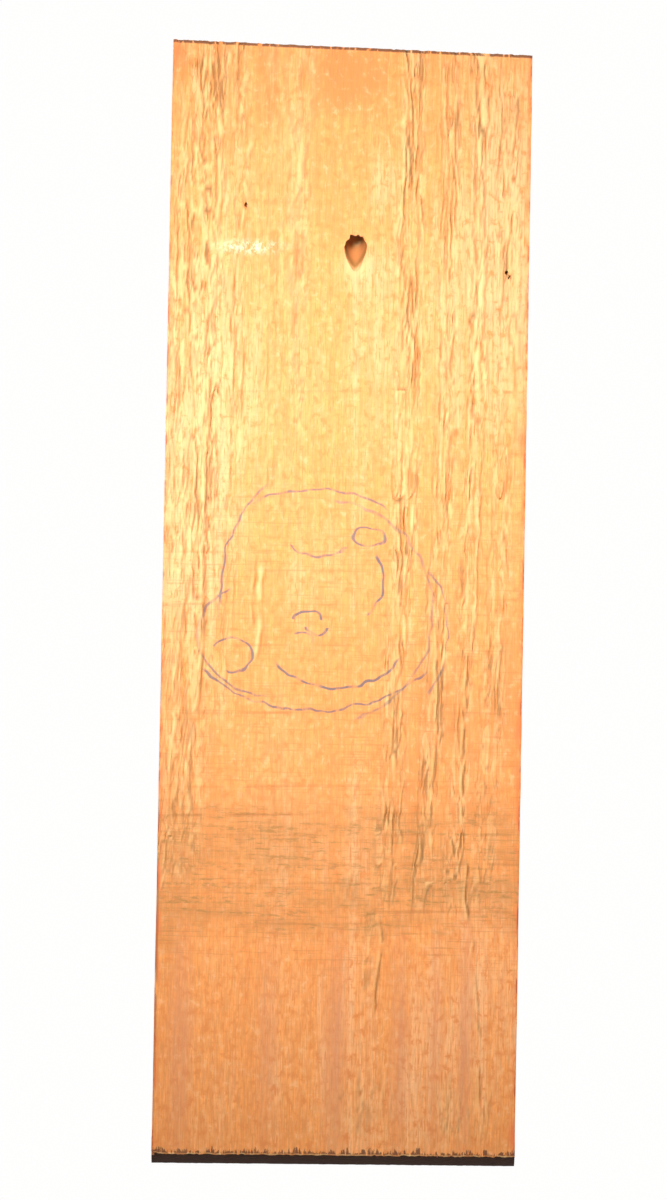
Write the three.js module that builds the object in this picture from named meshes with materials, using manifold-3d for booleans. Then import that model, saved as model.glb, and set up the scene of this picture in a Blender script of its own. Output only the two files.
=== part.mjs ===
// A wooden award plaque as it hangs on a wall. The finished part has +Z up, its raw back on the plane
// y = 0 and its stained front turned towards -Y, and its origin is the middle of the hanging hole's mouth.
// All sizes are in millimetres and all angles in degrees.
import * as THREE from "three";
import { mergeVertices } from "three/addons/utils/BufferGeometryUtils.js";
import Module from "manifold-3d";

// Board: sawn by hand, so that neither end is quite square to the sides.
const boardWidth = 114.3;
const boardHeight = 356.7; // along the middle
const boardThickness = 20;
const topSlope = 1.57; // the top edge climbs towards +X
const bottomSlope = 0.48; // the bottom edge falls towards +X
const frontEdgeRound = 2.5;
const frontEdgeSteps = 4;

// Hanging hole: drilled up into the back at a slant, and blind.
const hangingBore = 7.1;
const hangingSlant = 38; // between the bore and the back face
const hangingWall = 6.7; // wood left between the drill's shoulder and the front
const hangingBelowTop = 66.7; // at the middle of the board
const hangingOffCentre = 2; // towards -X
const drillPoint = 118;
const boreSides = 32;

// Medallion: a moulded metal cup whose rim is the wreath, with a struck disc glued in it.
const discDiameter = 50.8;
const discFit = 0.4; // gap round the disc
const discThickness = 1.6;
const discLip = 2; // width of the raised lip round the disc's face
const discLipHeight = 0.5;
const padInset = 2.4; // from the disc's edge to the pad's
const padThickness = 0.8;
const starMargin = 6.4; // from the lip to the star's points
const starWaist = 0.4; // share of the star's size at its inner corners
const starPoints = 5;
const starHeight = 1.2;
const starBevel = 0.8;
const starSink = 0.2; // the star's foot inside the disc
const holderFloor = 2.4;
const wreathWidth = 12.2;
const wreathCrest = 3; // width of its flat top
const wreathLead = 0.8; // chamfer at the disc's edge
const wreathFoot = 1.6; // height of its outer edge
const wreathProud = 0.3; // above the disc's lip
const wreathSteps = 6;
const wreathTopMargin = 26; // board above the wreath

// Holder screws: two countersunk wood screws through the cup's floor, under the disc.
const holderScrewCount = 2;
const holderScrewCircle = 28;
const screwHead = 5.4;
const screwShank = 2.8;
const screwLength = 12;
const screwHeadAngle = 90;
const screwSlotWidth = 0.8;
const screwSlotDepth = 0.7;

// Name plate: thin brass with hollow-cut corners, held by a domed pin near each corner.
const plateThickness = 1.2;
const plateSideMargin = 13.2; // board to each side of the plate
const plateTopGap = 27; // board between the wreath and the plate
const plateBottomMargin = 56; // board below the plate, at the middle
const plateCornerRadius = 8;
const plateEdgeBevel = 0.3;
const pinInset = 13.5; // from the plate's edges to a pin's middle
const pinHead = 4.6;
const pinHeadHeight = 1.7;
const pinDomeSteps = 5;
const pinShank = 1.7;
const pinLength = 11;

// Fits
const seatGap = 0.2; // between faces that rest on each other
const shankClearance = 0.2; // round a shank in its hole
const pilotExtra = 1; // a pilot hole runs on past the tip of what it holds
const pointAngle = 60; // of a screw's and a pin's tip

const roundSides = 48;
const fastenerSides = 20;
const weld = 1e-4; // vertices closer than this are one

const wasm = await Module();
wasm.setup();

const radians = THREE.MathUtils.degToRad;
const point = (x, y) => new THREE.Vector2(x, y);
const frontPlane = boardThickness + seatGap; // where a fitting's back face lies

// Sizes and places that follow from the ones above, measured from the hanging hole's mouth
const boardMiddleX = hangingOffCentre;
const topMiddleY = hangingBelowTop;
const bottomMiddleY = topMiddleY - boardHeight;
const cupRadius = discDiameter / 2 + discFit;
const wreathRadius = cupRadius + wreathWidth;
const medallionY = topMiddleY - wreathTopMargin - wreathRadius;
const plateWidth = boardWidth - 2 * plateSideMargin;
const plateTop = medallionY - wreathRadius - plateTopGap;
const plateHeight = plateTop - plateBottomMargin - bottomMiddleY;
const plateY = plateTop - plateHeight / 2;

// Heights of the medallion's pieces above the holder's back
const padSeat = holderFloor + seatGap;
const discSeat = padSeat + padThickness + seatGap;
const wreathHeight = discSeat + discThickness + discLipHeight + wreathProud;

// Shapes are drawn as seen from the front: x to the right, y up, z out of the front, back face at z = 0.

// A closed geometry as a manifold solid, with the vertices that its faces share made one.
function toSolid(geometry) {
  const bare = geometry.clone();
  bare.deleteAttribute("normal");
  bare.deleteAttribute("uv");
  const merged = mergeVertices(bare, weld);
  return new wasm.Manifold(
    new wasm.Mesh({
      numProp: 3,
      vertProperties: merged.attributes.position.array,
      triVerts: new Uint32Array(merged.index.array),
    }),
  );
}

// A manifold solid as a geometry with flat faces.
function toGeometry(solid) {
  const { vertProperties, triVerts } = solid.getMesh();
  const indexed = new THREE.BufferGeometry();
  indexed.setAttribute("position", new THREE.BufferAttribute(vertProperties, 3));
  indexed.setIndex(new THREE.BufferAttribute(triVerts, 1));
  const geometry = indexed.toNonIndexed();
  geometry.computeVertexNormals();
  return geometry;
}

// A profile of [radius, height] points, from the axis back to the axis, turned about the z axis.
function turned(profile, sides) {
  const outline = profile.map(([radius, height]) => point(radius, height));
  return new THREE.LatheGeometry(outline, sides).rotateX(Math.PI / 2);
}

// A plate of the given outline between two heights, its edges bevelled at both faces.
function platform(outline, low, high, bevel, steps = 1) {
  return new THREE.ExtrudeGeometry(outline, {
    depth: high - low - 2 * bevel,
    bevelThickness: bevel,
    bevelSize: bevel,
    bevelOffset: -bevel,
    bevelSegments: steps,
    curveSegments: fastenerSides,
  }).translate(0, 0, low + bevel);
}

// A straight hole that goes down from z = 0 and ends in a cone.
function blindHole(diameter, depth, angle, sides, above) {
  const radius = diameter / 2;
  const cone = radius / Math.tan(radians(angle / 2));
  return turned([[0, -depth - cone], [radius, -depth], [radius, above], [0, above]], sides);
}

const mesh = (name, geometry, material) => {
  const made = new THREE.Mesh(geometry, material);
  made.name = name;
  return made;
};

// Places of the fasteners, on the front
const holderScrewPlaces = Array.from({ length: holderScrewCount }, (_, i) => {
  const angle = (2 * Math.PI * i) / holderScrewCount;
  const reach = holderScrewCircle / 2;
  return point(boardMiddleX + reach * Math.cos(angle), medallionY + reach * Math.sin(angle));
});
const pinReachX = plateWidth / 2 - pinInset;
const pinReachY = plateHeight / 2 - pinInset;
const platePinPlaces = [[-1, 1], [1, 1], [-1, -1], [1, -1]].map(([x, y]) =>
  point(boardMiddleX + x * pinReachX, plateY + y * pinReachY),
);

// Heights of the fasteners, above the board's back
const screwTop = frontPlane + holderFloor;
const pinSeat = frontPlane + plateThickness + seatGap;

function boardOutline() {
  const half = boardWidth / 2;
  const topRise = half * Math.tan(radians(topSlope));
  const bottomDrop = half * Math.tan(radians(bottomSlope));
  return new THREE.Shape([
    point(boardMiddleX - half, bottomMiddleY + bottomDrop),
    point(boardMiddleX + half, bottomMiddleY - bottomDrop),
    point(boardMiddleX + half, topMiddleY + topRise),
    point(boardMiddleX - half, topMiddleY - topRise),
  ]);
}

function hangingHole() {
  const radius = hangingBore / 2;
  const slant = radians(hangingSlant);
  const depth = (boardThickness - hangingWall - radius * Math.cos(slant)) / Math.sin(slant);
  const runOut = radius / Math.tan(slant) + radius;
  const hole = blindHole(hangingBore, depth, drillPoint, boreSides, runOut);
  return hole.rotateX(radians(90 + hangingSlant));
}

function pilotHole(place, shank, tip) {
  const depth = boardThickness - tip + pilotExtra;
  const hole = blindHole(shank + 2 * shankClearance, depth, drillPoint, fastenerSides, pilotExtra);
  return hole.translate(place.x, place.y, boardThickness);
}

function board() {
  // Both faces get the round, and the back one is cut away.
  const spare = 2 * frontEdgeRound;
  const blank = platform(boardOutline(), -spare, boardThickness, frontEdgeRound, frontEdgeSteps);
  const waste = new THREE.BoxGeometry(4 * boardWidth, 4 * boardHeight, spare);
  let solid = toSolid(blank).subtract(toSolid(waste.translate(0, 0, -spare / 2)));
  solid = solid.subtract(toSolid(hangingHole()));
  for (const place of holderScrewPlaces) {
    solid = solid.subtract(toSolid(pilotHole(place, screwShank, screwTop - screwLength)));
  }
  for (const place of platePinPlaces) {
    solid = solid.subtract(toSolid(pilotHole(place, pinShank, pinSeat - pinLength)));
  }
  return toGeometry(solid);
}

// A cup with its wreath, from the outside in: a quarter round, a flat crest and a chamfer.
function cupProfile() {
  const crestRadius = cupRadius + wreathLead + wreathCrest;
  const profile = [[0, 0], [wreathRadius, 0]];
  for (let i = 0; i <= wreathSteps; i++) {
    const angle = (Math.PI / 2) * (i / wreathSteps);
    const radius = crestRadius + (wreathRadius - crestRadius) * Math.cos(angle);
    profile.push([radius, wreathFoot + (wreathHeight - wreathFoot) * Math.sin(angle)]);
  }
  profile.push([cupRadius + wreathLead, wreathHeight], [cupRadius, wreathHeight - wreathLead]);
  profile.push([cupRadius, holderFloor], [0, holderFloor]);
  return profile;
}

function medallionHolder() {
  const cup = turned(cupProfile(), roundSides);
  const clearHead = screwHead + 2 * shankClearance;
  const clearShank = screwShank + 2 * shankClearance;
  const sink = (clearHead - clearShank) / 2 / Math.tan(radians(screwHeadAngle / 2));
  const below = -holderFloor;
  const above = 2 * holderFloor;
  const countersink = [
    [0, below],
    [clearShank / 2, below],
    [clearShank / 2, holderFloor - sink],
    [clearHead / 2, holderFloor],
    [clearHead / 2, above],
    [0, above],
  ];
  let solid = toSolid(cup);
  for (const place of holderScrewPlaces) {
    const hole = turned(countersink, fastenerSides);
    solid = solid.subtract(toSolid(hole.translate(place.x - boardMiddleX, place.y - medallionY, 0)));
  }
  return toGeometry(solid);
}

// Its head is flush with the cup's floor, which is its z = 0.
function holderScrew() {
  const headDepth = (screwHead - screwShank) / 2 / Math.tan(radians(screwHeadAngle / 2));
  const pointLength = screwShank / 2 / Math.tan(radians(pointAngle / 2));
  const blank = turned(
    [
      [0, -screwLength],
      [screwShank / 2, pointLength - screwLength],
      [screwShank / 2, -headDepth],
      [screwHead / 2, 0],
      [0, 0],
    ],
    fastenerSides,
  );
  const slot = new THREE.BoxGeometry(2 * screwHead, screwSlotWidth, 2 * screwSlotDepth);
  return toGeometry(toSolid(blank).subtract(toSolid(slot)));
}

function adhesivePad() {
  const radius = discDiameter / 2 - padInset;
  return turned([[0, 0], [radius, 0], [radius, padThickness], [0, padThickness]], roundSides);
}

function starOutline() {
  const outer = discDiameter / 2 - discLip - starMargin;
  const corners = Array.from({ length: 2 * starPoints }, (_, i) => {
    const angle = Math.PI / 2 + (Math.PI * i) / starPoints;
    const radius = i % 2 ? outer * starWaist : outer;
    return point(radius * Math.cos(angle), radius * Math.sin(angle));
  });
  return new THREE.Shape(corners);
}

function medallionDisc() {
  const outer = discDiameter / 2;
  const inner = outer - discLip;
  const coin = turned(
    [
      [0, 0],
      [outer, 0],
      [outer, discThickness + discLipHeight],
      [inner, discThickness + discLipHeight],
      [inner, discThickness],
      [0, discThickness],
    ],
    roundSides,
  );
  const star = new THREE.ExtrudeGeometry(starOutline(), {
    depth: starHeight + starSink - starBevel,
    bevelThickness: starBevel,
    bevelSize: starBevel,
    bevelOffset: -starBevel,
    bevelSegments: 1,
  }).translate(0, 0, discThickness - starSink);
  // The bevel below the star's foot is hidden in the coin, or cut off where it would come through.
  const through = new THREE.BoxGeometry(2 * outer, 2 * outer, 2 * outer).translate(0, 0, -outer);
  return toGeometry(toSolid(coin).add(toSolid(star)).subtract(toSolid(through)));
}

// A rectangle whose corners are cut away by quarter circles.
function plateOutline() {
  const x = plateWidth / 2;
  const y = plateHeight / 2;
  const r = plateCornerRadius;
  const outline = new THREE.Shape();
  outline.moveTo(r - x, -y);
  outline.lineTo(x - r, -y);
  outline.absarc(x, -y, r, Math.PI, Math.PI / 2, true);
  outline.lineTo(x, y - r);
  outline.absarc(x, y, r, -Math.PI / 2, -Math.PI, true);
  outline.lineTo(r - x, y);
  outline.absarc(-x, y, r, 0, -Math.PI / 2, true);
  outline.lineTo(-x, r - y);
  outline.absarc(-x, -y, r, Math.PI / 2, 0, true);
  return outline;
}

function namePlate() {
  let solid = toSolid(platform(plateOutline(), 0, plateThickness, plateEdgeBevel));
  const radius = pinShank / 2 + shankClearance;
  const below = -plateThickness;
  const above = 2 * plateThickness;
  const drill = [[0, below], [radius, below], [radius, above], [0, above]];
  for (const place of platePinPlaces) {
    const hole = turned(drill, fastenerSides);
    solid = solid.subtract(toSolid(hole.translate(place.x - boardMiddleX, place.y - plateY, 0)));
  }
  return toGeometry(solid);
}

// A domed head that sits on the plate, which is its z = 0, and a pointed shank.
function platePin() {
  const headRadius = pinHead / 2;
  const pointLength = pinShank / 2 / Math.tan(radians(pointAngle / 2));
  const profile = [
    [0, -pinLength],
    [pinShank / 2, pointLength - pinLength],
    [pinShank / 2, 0],
  ];
  for (let i = 0; i < pinDomeSteps; i++) {
    const angle = (Math.PI / 2) * (i / pinDomeSteps);
    profile.push([headRadius * Math.cos(angle), pinHeadHeight * Math.sin(angle)]);
  }
  profile.push([0, pinHeadHeight]);
  return turned(profile, fastenerSides);
}

const wood = new THREE.MeshStandardMaterial({ color: 0xe0a060, roughness: 0.8, metalness: 0 });
const brass = new THREE.MeshStandardMaterial({ color: 0xc9a045, roughness: 0.35, metalness: 1 });
const antiqueBrass = new THREE.MeshStandardMaterial({ color: 0x9c7a3a, roughness: 0.45, metalness: 1 });
const steel = new THREE.MeshStandardMaterial({ color: 0x9a9a9a, roughness: 0.4, metalness: 1 });
const foam = new THREE.MeshStandardMaterial({ color: 0xe8e4da, roughness: 0.9, metalness: 0 });

const plaque = new THREE.Group();
plaque.add(mesh("board", board(), wood));

const medallion = new THREE.Group();
medallion.position.set(boardMiddleX, medallionY, frontPlane);
const holder = mesh("medallion_holder", medallionHolder(), antiqueBrass);
const pad = mesh("adhesive_pad", adhesivePad(), foam);
pad.position.z = padSeat;
const disc = mesh("medallion_disc", medallionDisc(), brass);
disc.position.z = discSeat;
medallion.add(holder, pad, disc);
plaque.add(medallion);

holderScrewPlaces.forEach((place, i) => {
  const screw = mesh("holder_screw_" + (i + 1), holderScrew(), steel);
  screw.position.set(place.x, place.y, screwTop);
  plaque.add(screw);
});

const plate = mesh("name_plate", namePlate(), brass);
plate.position.set(boardMiddleX, plateY, frontPlane);
plaque.add(plate);

platePinPlaces.forEach((place, i) => {
  const pin = mesh("plate_pin_" + (i + 1), platePin(), brass);
  pin.position.set(place.x, place.y, pinSeat);
  plaque.add(pin);
});

// Stand the drawing up: its y becomes +Z and its front turns to -Y.
plaque.rotation.x = Math.PI / 2;

const group = new THREE.Group();
group.add(plaque);
export default group;
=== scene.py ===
# A wooden award plaque, seen from its raw back as it hangs. Everything is in metres.
import math

import bpy
import numpy as np
from mathutils import Matrix, Vector


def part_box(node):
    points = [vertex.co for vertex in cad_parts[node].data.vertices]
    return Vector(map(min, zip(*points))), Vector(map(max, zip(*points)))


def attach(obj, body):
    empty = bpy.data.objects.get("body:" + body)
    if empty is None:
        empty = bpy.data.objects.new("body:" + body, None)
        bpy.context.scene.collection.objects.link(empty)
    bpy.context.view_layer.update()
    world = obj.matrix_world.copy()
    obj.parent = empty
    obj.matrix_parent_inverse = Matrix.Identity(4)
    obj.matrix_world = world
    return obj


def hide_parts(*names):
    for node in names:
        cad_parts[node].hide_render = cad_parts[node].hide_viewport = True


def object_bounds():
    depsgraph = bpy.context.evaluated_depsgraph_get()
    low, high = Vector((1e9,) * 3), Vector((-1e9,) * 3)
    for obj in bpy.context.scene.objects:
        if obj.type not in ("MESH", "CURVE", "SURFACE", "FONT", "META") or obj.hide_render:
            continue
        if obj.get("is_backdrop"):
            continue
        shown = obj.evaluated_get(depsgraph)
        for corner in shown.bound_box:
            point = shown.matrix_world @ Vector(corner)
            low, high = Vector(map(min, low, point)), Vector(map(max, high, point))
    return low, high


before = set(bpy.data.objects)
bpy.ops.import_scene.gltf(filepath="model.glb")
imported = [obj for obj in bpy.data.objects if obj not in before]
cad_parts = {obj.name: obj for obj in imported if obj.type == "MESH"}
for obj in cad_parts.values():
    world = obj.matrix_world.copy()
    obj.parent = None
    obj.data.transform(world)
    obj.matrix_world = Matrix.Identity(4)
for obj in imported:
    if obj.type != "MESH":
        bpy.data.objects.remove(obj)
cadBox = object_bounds()
scene = bpy.context.scene
mm = 0.001
boardLow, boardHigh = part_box("board")
boardCentre = (boardLow + boardHigh) / 2
print("frame loaded")


# Small helpers for modelling by hand.

def clearSelection():
    if bpy.context.object and bpy.context.object.mode != "OBJECT":
        bpy.ops.object.mode_set(mode="OBJECT")
    bpy.ops.object.select_all(action="DESELECT")


def only(piece):
    clearSelection()
    piece.select_set(True)
    bpy.context.view_layer.objects.active = piece


def settle(piece, name):
    # the piece's place goes into its mesh
    only(piece)
    bpy.ops.object.transform_apply(location=True, rotation=True, scale=True)
    piece.name = name
    piece.data.name = name


def applyModifier(piece, modifier):
    only(piece)
    bpy.ops.object.modifier_apply(modifier=modifier.name)


def openMesh(piece):
    only(piece)
    bpy.ops.object.mode_set(mode="EDIT")
    bpy.ops.mesh.select_all(action="SELECT")


def closeMesh():
    # every face is turned outwards first
    bpy.ops.mesh.select_all(action="SELECT")
    bpy.ops.mesh.normals_make_consistent(inside=False)
    bpy.ops.object.mode_set(mode="OBJECT")


def pull(distance):
    # what is selected is drawn out towards the plaque's front
    bpy.ops.mesh.extrude_region_move(TRANSFORM_OT_translate={"value": (0, -distance, 0)})


def filledCircle(name, sides, radius=1.0, place=(0, 0, 0), turn=math.pi / 2):
    clearSelection()
    bpy.ops.mesh.primitive_circle_add(
        vertices=sides, radius=radius, fill_type="NGON", location=place, rotation=(turn, 0, 0)
    )
    piece = bpy.context.object
    settle(piece, name)
    return piece


def copyOf(blank):
    copy = blank.copy()
    copy.data = blank.data.copy()
    bpy.context.collection.objects.link(copy)
    return copy


def points(piece):
    found = np.empty(len(piece.data.vertices) * 3)
    piece.data.vertices.foreach_get("co", found)
    return found.reshape(-1, 3)


def putPoints(piece, moved):
    piece.data.vertices.foreach_set("co", moved.astype(np.float32).ravel())
    piece.data.update()


# Noise on a plane, for what the wood does along and across its grain.

def softNoise(x, z, seed):
    # smooth noise from 0 to 1, one lump per unit of x and z
    table = np.random.default_rng(seed).random((97, 89))
    column, row = np.floor(x).astype(int), np.floor(z).astype(int)
    fx, fz = x - column, z - row
    fx, fz = fx * fx * (3 - 2 * fx), fz * fz * (3 - 2 * fz)
    near = table[column % 97, row % 89] * (1 - fx) + table[(column + 1) % 97, row % 89] * fx
    far = table[column % 97, (row + 1) % 89] * (1 - fx) + table[(column + 1) % 97, (row + 1) % 89] * fx
    return near * (1 - fz) + far * fz


def cells(x, z, seed):
    # irregular cells, about one per unit: each point's distance to its cell's edge, its place
    # across the cell from -0.5 to 0.5, and the cell's own number from 0 to 1
    rng = np.random.default_rng(seed)
    jitterX, jitterZ, own = rng.random((97, 89)), rng.random((97, 89)), rng.random((97, 89))
    column, row = np.floor(x).astype(int), np.floor(z).astype(int)
    nearest, second = np.full(x.shape, 9.0), np.full(x.shape, 9.0)
    across, number = np.zeros(x.shape), np.zeros(x.shape)
    for dx in (-1, 0, 1):
        for dz in (-1, 0, 1):
            i, j = (column + dx) % 97, (row + dz) % 89
            offX = column + dx + jitterX[i, j] - x
            offZ = row + dz + jitterZ[i, j] - z
            distance = np.hypot(offX, offZ)
            closer = distance < nearest
            second = np.where(closer, nearest, np.minimum(second, distance))
            across = np.where(closer, -offX, across)
            number = np.where(closer, own[i, j], number)
            nearest = np.where(closer, distance, nearest)
    return second - nearest, np.clip(across, -0.5, 0.5), number


def ramp(value, start, end):
    t = np.clip((value - start) / (end - start), 0, 1)
    return t * t * (3 - 2 * t)


def bump(value, middle, width):
    # 1 at the middle, falling to nothing over the width
    return np.exp(-(((value - middle) / width) ** 2))


# Camera.

cameraLook = dict(
    distance=6.0,
    elevation=math.radians(-10.5),  # a little below the plaque, looking up at its back
    roll=math.radians(1.04),
    shown=0.3793,  # height of the picture at the plaque
    aim=Vector((0.0030, 0, -0.0011)),  # from the middle of the board's back
    sensor=36,
)


def addCamera():
    look = cameraLook
    target = Vector((boardCentre.x, boardHigh.y, boardCentre.z)) + look["aim"]
    back = Vector((0, math.cos(look["elevation"]), math.sin(look["elevation"])))
    data = bpy.data.cameras.new("camera")
    data.sensor_width = look["sensor"]
    data.lens = look["sensor"] * look["distance"] / look["shown"]
    data.clip_start, data.clip_end = 0.1, 80
    camera = bpy.data.objects.new("camera", data)
    bpy.context.collection.objects.link(camera)
    camera.rotation_mode = "QUATERNION"
    camera.location = target + back * look["distance"]
    turned = (-back).to_track_quat("-Z", "Y")
    camera.rotation_quaternion = turned @ Matrix.Rotation(look["roll"], 4, "Z").to_quaternion()
    scene.camera = camera


# Studio.

studioLook = dict(
    floorDrop=1.35,  # floor below the middle of the plaque
    floorSize=120,
    floorColour=(0.86, 0.85, 0.84, 1),
    floorGlow=0.5,  # paler to the eye, with no more light on the plaque
    skyColour=(1.0, 0.995, 0.99, 1),
    skyLight=0.26,  # how much of it falls on the plaque
    lamps=[
        # name, place from the board's middle, aim from the board's middle, size, watts, spread
        ("keyLamp", (0.10, 0.52, 0.16), (0.012, 0, 0.052), 0.16, 0.68, 64),
        ("backFill", (-0.9, 1.6, 0.2), (0, 0, -0.05), 1.2, 4, 180),
        ("frontKey", (0.7, -1.3, 0.9), (0, 0, 0), 0.8, 22, 180),
        ("frontFill", (-1.2, -1.2, 0.2), (0, 0, 0), 1.2, 10, 180),
        ("frontPanel", (0.1, -2.6, 0.5), (0, 0, 0), 2.6, 8, 180),
        ("topLamp", (0.2, -0.1, 2.2), (0, 0, 0), 1.5, 20, 180),
    ],
)


def addStudio():
    look = studioLook
    bpy.ops.mesh.primitive_grid_add(x_subdivisions=4, y_subdivisions=4, size=look["floorSize"])
    floor = bpy.context.object
    floor.name = "floor"
    floor.location = (0, 0, boardCentre.z - look["floorDrop"])
    material = bpy.data.materials.new("floorPaper")
    material.use_nodes = True
    shader = material.node_tree.nodes["Principled BSDF"]
    shader.inputs["Base Color"].default_value = look["floorColour"]
    shader.inputs["Roughness"].default_value = 0.9
    shader.inputs["Emission Color"].default_value = look["floorColour"]
    nodes, links = material.node_tree.nodes, material.node_tree.links
    seen, glow = nodes.new("ShaderNodeLightPath"), nodes.new("ShaderNodeMath")
    glow.operation = "MULTIPLY"
    glow.inputs[1].default_value = look["floorGlow"]
    links.new(seen.outputs["Is Camera Ray"], glow.inputs[0])
    links.new(glow.outputs[0], shader.inputs["Emission Strength"])
    floor.data.materials.append(material)
    floor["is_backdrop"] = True

    world = bpy.data.worlds.new("studio")
    world.use_nodes = True
    nodes, links = world.node_tree.nodes, world.node_tree.links
    sky = nodes["Background"]
    sky.inputs["Color"].default_value = look["skyColour"]
    path = nodes.new("ShaderNodeLightPath")
    strength = nodes.new("ShaderNodeMapRange")
    strength.inputs["To Min"].default_value = look["skyLight"]
    strength.inputs["To Max"].default_value = 1.0
    links.new(path.outputs["Is Camera Ray"], strength.inputs["Value"])
    links.new(strength.outputs["Result"], sky.inputs["Strength"])
    scene.world = world

    middle = Vector((boardCentre.x, boardHigh.y, boardCentre.z))
    for name, place, aim, size, watts, spread in look["lamps"]:
        data = bpy.data.lights.new(name, "AREA")
        data.shape = "DISK"
        data.size = size
        data.energy = watts
        data.spread = math.radians(spread)
        lamp = bpy.data.objects.new(name, data)
        bpy.context.collection.objects.link(lamp)
        lamp.location = middle + Vector(place)
        direction = Vector(aim) - Vector(place)
        lamp.rotation_mode = "QUATERNION"
        lamp.rotation_quaternion = direction.to_track_quat("-Z", "Y")
        lamp.visible_camera = False
    scene.view_settings.view_transform = "Standard"


addCamera()
addStudio()
print("camera and studio placed")


# The board.
boardLook = dict(
    columns=300,
    rows=262,
    tornSpans=((-56.0, -10.0), (27.0, 60.0)),  # mm across, where the columns stand closer
    tornDensity=2.0,
    sideSteps=(0.5, 1.5, 3.5, 7.5),  # mm deep, one ring of edges each
    roundRadius=2.5 * mm,
    roundSteps=5,
    frontRim=0.4,
    endChip=0.32,  # mm that the sawn ends are ragged by
    cornerCut=(2.2, 1.0),  # mm along and up, the nipped corner at the bottom
)
sawLook = dict(
    tilt=0.018,  # the marks fall a little towards +X
    width=0.34,
    depth=0.16,
    crowding=5.0,
    # height on the board, strength, and where along the board each is clearest
    marks=(
        (-45.0, 0.35, 20), (-79.0, 0.45, 25), (-96.5, 0.5, 30), (-102.5, 0.3, 10), (-113.5, 0.6, 35),
        (-126.8, 0.6, 20), (-148.5, 1.0, 12), (-172.0, 0.7, 15), (-181.0, 0.9, 40), (-187.5, 0.8, -10),
        (-197.0, 0.8, -30), (-203.0, 0.5, 10), (-212.0, 0.7, -20), (-216.0, 0.4, 20),
    ),
)


def backCorners():
    # the four corners of the raw back, as the frame has them
    flat = [v.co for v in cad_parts["board"].data.vertices if abs(v.co.y) < 1e-5]
    return {
        (i, j): max(flat, key=lambda p: i * p.x * 10 + j * p.z).copy() for i in (-1, 1) for j in (-1, 1)
    }


corner = backCorners()
boardLeft, boardRight = corner[-1, -1].x / mm, corner[1, -1].x / mm


def bottomEdge(x):
    return np.interp(x, (boardLeft, boardRight), (corner[-1, -1].z / mm, corner[1, -1].z / mm))


def topEdge(x):
    return np.interp(x, (boardLeft, boardRight), (corner[-1, 1].z / mm, corner[1, 1].z / mm))


def crowd(share, low, high, density):
    # even shares become places from low to high, closer together where the density is greater
    trial = np.linspace(low, high, 4000)
    steps = (density(trial[1:]) + density(trial[:-1])) / 2
    reach = np.concatenate([[0], np.cumsum(steps)])
    return np.interp(share * reach[-1], reach, trial)


def columnDensity(x):
    torn = sum((x > a) & (x < b) for a, b in boardLook["tornSpans"])
    return 1 + boardLook["tornDensity"] * torn


def rowDensity(z):
    low, high = bottomEdge(0), topEdge(0)
    marks = sum(bump(z, mark[0], 0.7) for mark in sawLook["marks"])
    return 1 + sawLook["crowding"] * marks + 7 * np.exp(-(z - low) / 1.6) + 4 * np.exp(-(high - z) / 1.0)


def layGrid(board):
    # the grid's rows follow the saw marks, and reach the two crooked ends
    p = points(board)
    u, v = p[:, 0] + 0.5, p[:, 2] + 0.5
    x = crowd(u, boardLeft, boardRight, columnDensity)
    low, high = bottomEdge(0), topEdge(0)
    z = crowd(v, low, high, rowDensity) - sawLook["tilt"] * x
    z += (1 - ramp(v, 0, 0.2)) * (bottomEdge(x) - low + sawLook["tilt"] * x)
    z += ramp(v, 0.8, 1) * (topEdge(x) - high + sawLook["tilt"] * x)
    putPoints(board, np.stack([x, np.zeros_like(x), z], axis=1) * mm)


def addBoard():
    look = boardLook
    clearSelection()
    bpy.ops.mesh.primitive_grid_add(
        x_subdivisions=look["columns"], y_subdivisions=look["rows"], size=1, rotation=(-math.pi / 2, 0, 0)
    )
    board = bpy.context.object
    settle(board, "boardBody")
    layGrid(board)

    # sides, front round and front
    openMesh(board)
    bpy.ops.mesh.region_to_loop()
    depth = 0
    thickness = (boardHigh.y - boardLow.y) / mm
    for ring in (*look["sideSteps"], thickness - look["roundRadius"] / mm):
        pull((ring - depth) * mm)
        depth = ring
    width, height = boardHigh.x - boardLow.x, boardHigh.z - boardLow.z
    inset, sunk = 0, 0
    for step in range(1, look["roundSteps"] + 1):
        angle = math.pi / 2 * step / look["roundSteps"]
        nextInset = look["roundRadius"] * (1 - math.cos(angle))
        nextSunk = look["roundRadius"] * math.sin(angle)
        pull(nextSunk - sunk)
        across = (width - 2 * nextInset) / (width - 2 * inset)
        up = (height - 2 * nextInset) / (height - 2 * inset)
        bpy.ops.transform.resize(value=(across, 1, up), center_override=(boardCentre.x, 0, boardCentre.z))
        inset, sunk = nextInset, nextSunk
    bpy.ops.mesh.edge_face_add()
    bpy.ops.mesh.inset(thickness=look["frontRim"] * mm, depth=0)  # keeps the flat front's shading flat
    closeMesh()
    return board


board = addBoard()
print("board blank:", len(board.data.polygons), "faces")


# The hanging hole and two worm holes.
holeLook = dict(
    sides=28,
    rings=9,
    firstRings=(-1.2, 0.15, 0.9),  # mm deep; the first stands out of the back
    slope=math.tan(math.radians(52)),  # how fast the bore climbs as it goes in
    depth=13.0,
    radius=3.3,  # of the bore, which narrows from the mouth
    halfWidth=3.65,
    top=5.6,  # of the mouth, above its middle
    widest=1.4,
    bottom=-6.4,
    ragged=0.5,
    seed=11,
)
wormLook = dict(
    sides=10,
    places=(
        # x, z, half width, half height, lean
        (35.1, 14.7, 0.62, 1.0, 0.1),
        (-48.1, -5.8, 0.7, 0.8, 0.0),
        (-48.9, -7.3, 0.32, 1.0, 0.5),
    ),
    depth=3.2,
)


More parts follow.
